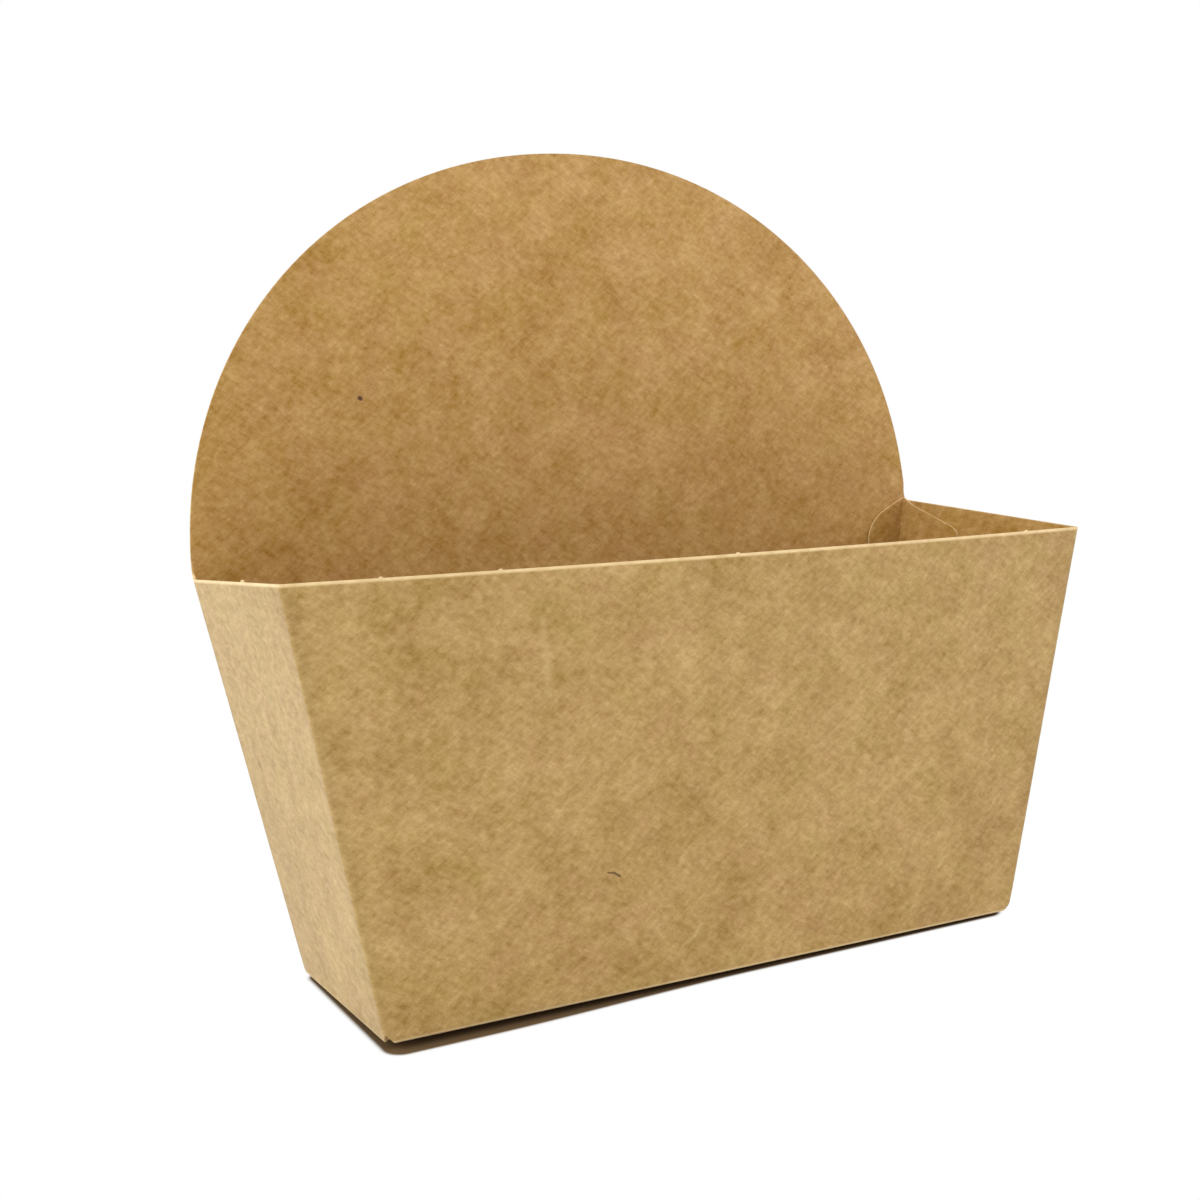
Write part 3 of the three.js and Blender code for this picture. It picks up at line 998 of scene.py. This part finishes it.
@dataclass
class BoardNodes:
    """The nodes that draw a kraft board.

    Attributes:
        look: The board's colours, sizes and strengths.
        tree: The node tree.
        place: Socket with the place on the object.
    """

    look: KraftBoard
    tree: bpy.types.NodeTree
    place: bpy.types.NodeSocket

    def noise(self, size: float, detail: float, rough: float, offset: float,
              stretch: tuple[float, float, float] = (1.0, 1.0, 1.0), turn: float = 0.0
              ) -> bpy.types.NodeSocket:
        """Noise of a real size.

        Args:
            size: Size of the largest features, in millimetres.
            detail: Number of finer octaves.
            rough: Strength of the finer octaves.
            offset: Shift that tells this noise from the others.
            stretch: How many times longer the features are in each direction.
            turn: Angle about the front-to-back line by which they are turned, in degrees.

        Returns:
            The noise's value, around 0.5.
        """
        turned = add_node(self.tree, "ShaderNodeMapping", inputs={
            "Vector": self.place, "Rotation": (0.0, math.radians(turn), 0.0)})
        scale = tuple(1 / (size * MILLIMETRE * s) for s in stretch)
        moved = add_node(self.tree, "ShaderNodeMapping", inputs={
            "Vector": turned.outputs[0], "Location": (offset, offset * 0.7, offset * 1.3),
            "Scale": scale})
        noise = add_node(self.tree, "ShaderNodeTexNoise", inputs={
            "Vector": moved.outputs[0], "Scale": 1.0, "Detail": detail, "Roughness": rough})
        return noise.outputs[0]

    def lightness(self, end_wall: bpy.types.NodeSocket) -> bpy.types.NodeSocket:
        """How much lighter or darker the board is than its plain colour.

        It is the sum, over the clouds, the felt's two crossed directions and the streaks, of
        each noise's difference from a half times its depth. The streaks show on the end walls.

        Args:
            end_wall: Socket with the share of end wall.

        Returns:
            The lightness, around nothing.
        """
        streaks = add_node(self.tree, "ShaderNodeMath", {"operation": "MULTIPLY"},
                           {0: end_wall, 1: self.look.streak_depth})
        noises = (
            (self.noise(self.look.wide_cloud, 2.0, 0.5, 23.9), self.look.wide_depth),
            (self.noise(self.look.cloud, 3.0, 0.75, 11.7), self.look.cloud_depth),
            (self.noise(self.look.felt, 3.0, 0.8, 5.5, self.look.felt_stretch, 38.0),
             self.look.felt_depth / 2),
            (self.noise(self.look.felt, 3.0, 0.8, 9.5, self.look.felt_stretch, -33.0),
             self.look.felt_depth / 2),
            (self.noise(self.look.streak, 3.0, 0.6, 17.3, self.look.streak_stretch),
             streaks.outputs[0]),
        )
        light: bpy.types.NodeSocket | float = 0.0
        for noise, depth in noises:
            off = add_node(self.tree, "ShaderNodeMath", {"operation": "SUBTRACT"},
                           {0: noise, 1: 0.5})
            sum_so_far = add_node(self.tree, "ShaderNodeMath", {"operation": "MULTIPLY_ADD"},
                                  {0: off.outputs[0], 1: depth, 2: light})
            light = sum_so_far.outputs[0]
        return light

    def shifted(self, tone: bpy.types.NodeSocket, way: tuple[float, float, float],
                amount: bpy.types.NodeSocket) -> bpy.types.NodeSocket:
        """A colour moved in a direction of colour: the colour plus the amount times the way.

        Args:
            tone: Socket with the colour.
            way: The direction, as changes of red, green and blue.
            amount: Socket with the amount.

        Returns:
            The moved colour.
        """
        step = add_node(self.tree, "ShaderNodeVectorMath", {"operation": "SCALE"},
                        {0: way, "Scale": amount})
        moved = add_node(self.tree, "ShaderNodeVectorMath", {"operation": "ADD"},
                         {0: tone, 1: step.outputs[0]})
        return moved.outputs[0]

    def layer_share(self, value: bpy.types.NodeSocket, full: float, none: float,
                    strength: float, thinned: bpy.types.NodeSocket) -> bpy.types.NodeSocket:
        """Share of a layer that lies on the board.

        It has its strength where a value is at one number, falls softly to nothing at another,
        and is thinned by a second share.

        Args:
            value: Socket with the value.
            full: Value at which the layer is full.
            none: Value at which it ends.
            strength: Its full strength.
            thinned: Socket with the second share.

        Returns:
            The layer's share.
        """
        near = add_node(self.tree, "ShaderNodeMapRange", {"interpolation_type": "SMOOTHSTEP"}, {
            "Value": value, "From Min": full, "From Max": none,
            "To Min": strength, "To Max": 0.0})
        share = add_node(self.tree, "ShaderNodeMath", {"operation": "MULTIPLY"},
                         {0: near.outputs[0], 1: thinned})
        return share.outputs[0]

    def mark_share(self, mark: Mark) -> bpy.types.NodeSocket:
        """Share of a mark at each place.

        The distance from the stroke is the distance from its nearest point, which is the place's
        projection on the stroke, held between its ends. The mark shows on both faces of its own
        wall, and the opposite wall stays free.

        Args:
            mark: The mark.

        Returns:
            The mark's share.
        """
        start = (mark.start[0] * MILLIMETRE, 0.0, mark.start[1] * MILLIMETRE)
        way = Vector((mark.end[0] - mark.start[0], 0.0, mark.end[1] - mark.start[1]))
        length = way.length * MILLIMETRE
        unit = tuple(way.normalized())
        flat = add_node(self.tree, "ShaderNodeVectorMath", {"operation": "MULTIPLY"},
                        {0: self.place, 1: (1.0, 0.0, 1.0)})
        off = add_node(self.tree, "ShaderNodeVectorMath", {"operation": "SUBTRACT"},
                       {0: flat.outputs[0], 1: start})
        along = add_node(self.tree, "ShaderNodeVectorMath", {"operation": "DOT_PRODUCT"},
                         {0: off.outputs[0], 1: unit})
        held = add_node(self.tree, "ShaderNodeClamp",
                        inputs={0: along.outputs["Value"], 1: 0.0, 2: length})
        nearest = add_node(self.tree, "ShaderNodeVectorMath", {"operation": "SCALE"},
                           {0: unit, "Scale": held.outputs[0]})
        gap = add_node(self.tree, "ShaderNodeVectorMath", {"operation": "DISTANCE"},
                       {0: off.outputs[0], 1: nearest.outputs[0]})
        axes = add_node(self.tree, "ShaderNodeSeparateXYZ", inputs={0: self.place})
        signed = add_node(self.tree, "ShaderNodeMath", {"operation": "MULTIPLY"},
                          {0: axes.outputs[1], 1: mark.face.value})
        on_wall = add_node(self.tree, "ShaderNodeMath", {"operation": "GREATER_THAN"},
                           {0: signed.outputs[0], 1: 0.0})
        full = mark.half_width * MILLIMETRE
        none = full + mark.soft * MILLIMETRE
        return self.layer_share(gap.outputs["Value"], full, none, mark.strength,
                                on_wall.outputs[0])

    def specks(self) -> bpy.types.NodeSocket:
        """Share of the fine specks: dots at the middles of some of the cells of the board.

        Returns:
            The specks' share.
        """
        cells = add_node(self.tree, "ShaderNodeTexVoronoi", inputs={
            "Vector": self.place, "Scale": 1 / (self.look.speck_spacing * MILLIMETRE),
            "Randomness": 1.0})
        chance = add_node(self.tree, "ShaderNodeSeparateColor", inputs={0: cells.outputs["Color"]})
        chosen = add_node(self.tree, "ShaderNodeMapRange", {"interpolation_type": "SMOOTHSTEP"}, {
            "Value": chance.outputs[0], "From Min": 0.7, "From Max": 1.0})
        return self.layer_share(cells.outputs["Distance"], 0.015, 0.045, 0.6,
                                chosen.outputs[0])

    def colour(self) -> bpy.types.NodeSocket:
        """The board's colour: its two faces, then clouds and felt, then the layers of specks,
        painted shade beside the upright folds, a painted highlight along the bottom folds, marks,
        and the cut edges' pale fibres with a partly painted highlight, one over the other.

        Returns:
            The colour.
        """
        read = {}
        for name in VALUE_NAMES:
            attribute = add_node(self.tree, "ShaderNodeAttribute", {"attribute_name": name})
            read[name] = attribute.outputs["Fac"]
        faces = add_node(self.tree, "ShaderNodeMix", {"data_type": "RGBA"}, {
            0: read["inside"], 6: linear(self.look.outside), 7: linear(self.look.inside)})
        light = self.lightness(read["end_wall"])
        tone = self.shifted(faces.outputs[2], self.look.paler, light)
        hue = self.noise(self.look.hue_cloud, 3.0, 0.7, 3.1)
        hue_change = add_node(self.tree, "ShaderNodeMath", {"operation": "MULTIPLY_ADD"},
                              {0: hue, 1: self.look.hue_depth, 2: -self.look.hue_depth / 2})
        tone = self.shifted(tone, self.look.rosier, hue_change.outputs[0])
        # A patchy noise that breaks up the bottom folds' painted highlight and the cut edges' pale
        # band.
        patchiness = self.noise(self.look.patchiness, 3.0, 0.6, 41.0)
        patchy = add_node(self.tree, "ShaderNodeMapRange", {"interpolation_type": "SMOOTHSTEP"}, {
            "Value": patchiness, "From Min": 0.3, "From Max": 0.7, "To Min": 0.7, "To Max": 1.0})
        # Painted shade beside the upright folds.
        crease_shade = add_node(self.tree, "ShaderNodeMath", {"operation": "MULTIPLY"},
                          {0: read["upright_fold"], 1: self.look.crease_shade_strength})
        # Painted highlight along the bottom folds, broken up by the patchy noise.
        fold = self.layer_share(read["bottom_fold"], 0.9, 0.1, 1.0, patchy.outputs[0])
        # The pale band at the cut edges is pale torn fibres and partly a painted highlight, thinner
        # on the inside face.
        thinner = add_node(self.tree, "ShaderNodeMath", {"operation": "MULTIPLY_ADD"},
                           {0: read["inside"], 1: self.look.inside_thinning, 2: 1.0})
        from_edge = add_node(self.tree, "ShaderNodeMath", {"operation": "MULTIPLY"},
                             {0: read["edge_distance"], 1: thinner.outputs[0]})
        edge = self.layer_share(from_edge.outputs[0], self.look.edge_full, self.look.edge_none, 1.0,
                                patchy.outputs[0])
        layers = [(self.specks(), self.look.speck), (crease_shade.outputs[0], self.look.shade),
                  (fold, self.look.fold_highlight)]
        layers += [(self.mark_share(mark), mark.tone) for mark in self.look.marks]
        for share, over in [*layers, (edge, self.look.pale)]:
            mix = add_node(self.tree, "ShaderNodeMix", {"data_type": "RGBA"},
                           {0: share, 6: tone, 7: linear(over)})
            tone = mix.outputs[2]
        return tone

    def relief(self) -> bpy.types.NodeSocket:
        """Bump of single fibres, and over it the bump of the felt's tufts.

        Returns:
            The surface's normal.
        """
        fibres = self.noise(self.look.fibre, 3.0, 0.7, 8.2, (2.0, 1.0, 1.4))
        fine = add_node(self.tree, "ShaderNodeBump", inputs={
            "Height": fibres, "Strength": 0.35, "Distance": 0.06 * MILLIMETRE})
        felt = self.noise(self.look.felt, 3.0, 0.6, 13.4)
        both = add_node(self.tree, "ShaderNodeBump", inputs={
            "Height": felt, "Strength": 0.3, "Distance": 0.08 * MILLIMETRE,
            "Normal": fine.outputs[0]})
        return both.outputs[0]

    def finish(self) -> None:
        """Joins colour, roughness and relief in the surface's shader."""
        matt = self.noise(1.5, 2.0, 0.5, 31.0)
        rough = add_node(self.tree, "ShaderNodeMapRange", {"interpolation_type": "SMOOTHSTEP"}, {
            "Value": matt, "From Min": 0.3, "From Max": 0.7,
            "To Min": self.look.roughness - 0.05, "To Max": self.look.roughness + 0.06})
        shader = add_node(self.tree, "ShaderNodeBsdfPrincipled", inputs={
            "Base Color": self.colour(), "Roughness": rough.outputs[0],
            "Normal": self.relief(), "Sheen Weight": self.look.sheen, "Sheen Roughness": 0.5})
        add_node(self.tree, "ShaderNodeOutputMaterial", inputs={"Surface": shader.outputs[0]})


@dataclass(frozen=True)
class StudioFloor:
    """Matt white studio board.

    It is a plain white to the eye, and darkens only in the gap under the tray, where it is painted
    dark brown: a painted shadow over the shade that falls there.
    """

    white: str = "#F4F4F4"
    # Painted shadow: the floor's colour in the tray's footprint.
    under: str = "#725C43"
    middle: float = -0.4
    half_length: float = 58.05
    half_depth: float = 18.2
    corner: float = 2.8
    fade: float = 1.2
    forward: float = 1.8
    forward_from: float = 5.0
    forward_to: float = -45.0

    def material(self) -> bpy.types.Material:
        """White to the camera and in reflections, apart from the tray's own footprint, which
        keeps its shadow and is painted dark brown there, a painted shadow.

        The footprint is a rectangle with round corners and a soft rim, found from the distance
        to a smaller rectangle. Its front side comes forward to the left, where the fold rides
        higher, so that the painted shadow reaches further out there.

        Returns:
            The finished material.
        """
        material = bpy.data.materials.new("matt_white_studio_board")
        material.use_nodes = True
        tree = material.node_tree
        tree.nodes.clear()
        place = add_node(tree, "ShaderNodeTexCoord").outputs["Object"]
        size = (self.half_length * MILLIMETRE, self.half_depth * MILLIMETRE, 1.0)
        axes = add_node(tree, "ShaderNodeSeparateXYZ", inputs={0: place})
        ahead = add_node(tree, "ShaderNodeMapRange", {"interpolation_type": "SMOOTHSTEP"}, {
            "Value": axes.outputs[0], "From Min": self.forward_from * MILLIMETRE,
            "From Max": self.forward_to * MILLIMETRE, "To Max": self.forward * MILLIMETRE})
        in_front = add_node(tree, "ShaderNodeMath", {"operation": "LESS_THAN"},
                            {0: axes.outputs[1], 1: 0.0})
        across = add_node(tree, "ShaderNodeMath", {"operation": "MULTIPLY_ADD"},
                          {0: ahead.outputs[0], 1: in_front.outputs[0], 2: axes.outputs[1]})
        along = add_node(tree, "ShaderNodeMath", {"operation": "SUBTRACT"},
                         {0: axes.outputs[0], 1: self.middle * MILLIMETRE})
        place = add_node(tree, "ShaderNodeCombineXYZ",
                         inputs={0: along.outputs[0], 1: across.outputs[0]}).outputs[0]
        away = add_node(tree, "ShaderNodeVectorMath", {"operation": "ABSOLUTE"}, {0: place})
        away = add_node(tree, "ShaderNodeVectorMath", {"operation": "SUBTRACT"},
                        {0: away.outputs[0], 1: size})
        away = add_node(tree, "ShaderNodeVectorMath", {"operation": "MAXIMUM"},
                        {0: away.outputs[0], 1: (0.0, 0.0, 0.0)})
        away = add_node(tree, "ShaderNodeVectorMath", {"operation": "LENGTH"},
                        {0: away.outputs[0]}).outputs["Value"]
        clear = add_node(tree, "ShaderNodeMapRange", {"interpolation_type": "SMOOTHSTEP"}, {
            "Value": away, "From Min": self.corner * MILLIMETRE,
            "From Max": (self.corner + self.fade) * MILLIMETRE}).outputs[0]
        # Painted shadow: the floor's colour turns dark brown in the tray's footprint.
        tone = add_node(tree, "ShaderNodeMix", {"data_type": "RGBA"},
                        {0: clear, 6: linear(self.under), 7: linear(self.white)}).outputs[2]
        matt = add_node(tree, "ShaderNodeBsdfDiffuse", inputs={"Color": tone})
        glow = add_node(tree, "ShaderNodeEmission", inputs={"Strength": 1.0})
        seen = seen_directly(tree)
        share = add_node(tree, "ShaderNodeMath", {"operation": "MULTIPLY"}, {0: seen, 1: clear})
        mix = add_node(tree, "ShaderNodeMixShader", inputs={
            0: share.outputs[0], 1: matt.outputs[0], 2: glow.outputs[0]})
        add_node(tree, "ShaderNodeOutputMaterial", inputs={"Surface": mix.outputs[0]})
        return material


def seen_directly(tree: bpy.types.NodeTree) -> bpy.types.NodeSocket:
    """Share of a ray that comes from the camera, a reflection or a transmission.

    Args:
        tree: The node tree.

    Returns:
        One for such a ray and nothing for any other.
    """
    path = add_node(tree, "ShaderNodeLightPath")
    first = add_node(tree, "ShaderNodeMath", {"operation": "MAXIMUM"}, {
        0: path.outputs["Is Camera Ray"], 1: path.outputs["Is Glossy Ray"]})
    both = add_node(tree, "ShaderNodeMath", {"operation": "MAXIMUM"}, {
        0: first.outputs[0], 1: path.outputs["Is Transmission Ray"]})
    return both.outputs[0]


@dataclass
class FoodTray:
    """The whole tray: one sheet, in one mesh."""

    box: BoxShape = field(default_factory=BoxShape)
    board: KraftBoard = field(default_factory=KraftBoard)

    def build(self) -> bpy.types.Object:
        """Builds the sheet's closed shells into one mesh and dresses it.

        Returns:
            The tray's object, riding on the part's body in place of its solid.
        """
        flaps = BottomFlaps(self.box)
        shells = [FoldedWalls(self.box).shell(), SeamFlap(self.box).shell(), *flaps.shells()]
        sheet = self.mesh(shells)
        tray = bpy.data.objects.new("folded_sheet", sheet)
        bpy.context.scene.collection.objects.link(tray)
        sheet.materials.append(self.board.material())
        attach(tray, "root")
        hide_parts("folded_tray")
        return tray

    def mesh(self, shells: list[Shell]) -> bpy.types.Mesh:
        """Joins the shells in one mesh, merges the points that coincide and turns faces out.

        Args:
            shells: The closed surfaces, in millimetres.

        Returns:
            The mesh, in metres.
        """
        sizes = [shell.points.shape[0] for shell in shells]
        starts = np.concatenate(([0], np.cumsum(sizes)[:-1]))
        points = np.concatenate([shell.points for shell in shells]) * MILLIMETRE
        quads = np.concatenate([shell.quads + start for shell, start in zip(shells, starts)])
        mesh = bpy.data.meshes.new("folded_sheet")
        mesh.from_pydata(points, [], quads)
        for name in shells[0].values:
            layer = mesh.attributes.new(name, "FLOAT", "POINT")
            values = np.concatenate([shell.values[name] for shell in shells])
            layer.data.foreach_set("value", values.astype(np.float32))
        shape = bmesh.new()
        shape.from_mesh(mesh)
        bmesh.ops.remove_doubles(shape, verts=shape.verts, dist=MERGE_DISTANCE)
        bmesh.ops.recalc_face_normals(shape, faces=shape.faces)
        shape.to_mesh(mesh)
        shape.free()
        mesh.shade_smooth()
        mesh.update()
        return mesh


@dataclass(frozen=True)
class Lamp:
    """A soft square lamp that points at the tray.

    Attributes:
        name: What it does.
        place: Where it stands, in metres.
        size: Side of the square, in metres.
        power: Power in watts.
        tint: Colour of its light.
    """

    name: str
    place: tuple[float, float, float]
    size: float
    power: float
    tint: tuple[float, float, float] = (1.0, 1.0, 1.0)


@dataclass
class Studio:
    """Floor, surroundings, lamps and camera."""

    floor: StudioFloor = field(default_factory=StudioFloor)
    floor_half: float = 1.6
    surround: float = 0.80
    lamps: tuple[Lamp, ...] = (
        Lamp("left_soft_lamp", (-1.0, -0.02, 0.45), 0.8, 6.4, (0.90, 1.0, 0.98)),
        Lamp("front_soft_lamp", (0.62, -0.45, 0.5), 0.5, 2.1),
    )
    aim: tuple[float, float, float] = (0.0, 0.0, 0.06)
    azimuth: float = -26.31993
    elevation: float = 7.65527
    roll: float = -2.65417
    distance: float = 0.3168360
    offset: tuple[float, float] = (-0.0120885, 0.0626355)
    focal_share: float = 1.444839

    def build(self) -> None:
        """Sets up the floor, the surroundings, the lamps and the camera."""
        self.build_floor()
        self.build_surround()
        for lamp in self.lamps:
            self.build_lamp(lamp)
        self.build_camera()
        bpy.context.scene.view_settings.view_transform = "Standard"

    def build_floor(self) -> None:
        """A plain square of floor at the surface that the tray stands on."""
        half = self.floor_half
        corners = np.array([(-half, -half, 0), (half, -half, 0), (half, half, 0), (-half, half, 0)])
        mesh = bpy.data.meshes.new("studio_floor")
        mesh.from_pydata(corners, [], [(0, 1, 2, 3)])
        mesh.materials.append(self.floor.material())
        floor = bpy.data.objects.new("studio_floor", mesh)
        bpy.context.scene.collection.objects.link(floor)

    def build_surround(self) -> None:
        """An even pale surround, which is white to the camera and in reflections."""
        world = bpy.data.worlds.new("pale_surround")
        world.use_nodes = True
        tree = world.node_tree
        tree.nodes.clear()
        even = add_node(tree, "ShaderNodeBackground", inputs={"Strength": self.surround})
        white = add_node(tree, "ShaderNodeBackground", inputs={"Strength": 1.0})
        for background in (even, white):
            background.inputs["Color"].default_value = (1.0, 1.0, 1.0, 1.0)
        mix = add_node(tree, "ShaderNodeMixShader", inputs={
            0: seen_directly(tree), 1: even.outputs[0], 2: white.outputs[0]})
        add_node(tree, "ShaderNodeOutputWorld", inputs={"Surface": mix.outputs[0]})
        bpy.context.scene.world = world

    def build_lamp(self, lamp: Lamp) -> None:
        """Adds one soft lamp, unseen by the camera.

        Args:
            lamp: The lamp.
        """
        light = bpy.data.lights.new(lamp.name, "AREA")
        light.energy = lamp.power
        light.color = lamp.tint
        light.size = lamp.size
        holder = bpy.data.objects.new(lamp.name, light)
        holder.location = lamp.place
        way = Vector(self.aim) - Vector(lamp.place)
        holder.rotation_euler = way.to_track_quat("-Z", "Y").to_euler()
        holder.visible_camera = False
        bpy.context.scene.collection.objects.link(holder)

    def build_camera(self) -> None:
        """The camera: its angles, its distance and how far its aim is off the base's centre."""
        az, el, roll = (math.radians(v) for v in (self.azimuth, self.elevation, self.roll))
        back = Vector((math.sin(az) * math.cos(el), -math.cos(az) * math.cos(el), math.sin(el)))
        level = (-back).cross(Vector((0, 0, 1))).normalized()
        upright = level.cross(-back)
        right = math.cos(roll) * level + math.sin(roll) * upright
        up = math.cos(roll) * upright - math.sin(roll) * level
        eye = right * self.offset[0] + up * self.offset[1] + back * self.distance
        camera = bpy.data.cameras.new("photograph_camera")
        camera.sensor_width = 36
        camera.lens = 36 * self.focal_share
        camera.clip_start = 0.01
        holder = bpy.data.objects.new("photograph_camera", camera)
        turn = Matrix((right, up, back)).transposed().to_4x4()
        holder.matrix_world = Matrix.Translation(eye) @ turn
        bpy.context.scene.collection.objects.link(holder)
        bpy.context.scene.camera = holder


def main() -> None:
    """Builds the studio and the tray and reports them."""
    logging.basicConfig(level=logging.INFO, format="%(message)s")
    Studio().build()
    tray = FoodTray().build()
    faces = sum(len(face.vertices) - 2 for face in tray.data.polygons)
    LOG.info("%s: %d triangles", tray.name, faces)


if __name__ == "__main__":
    main()
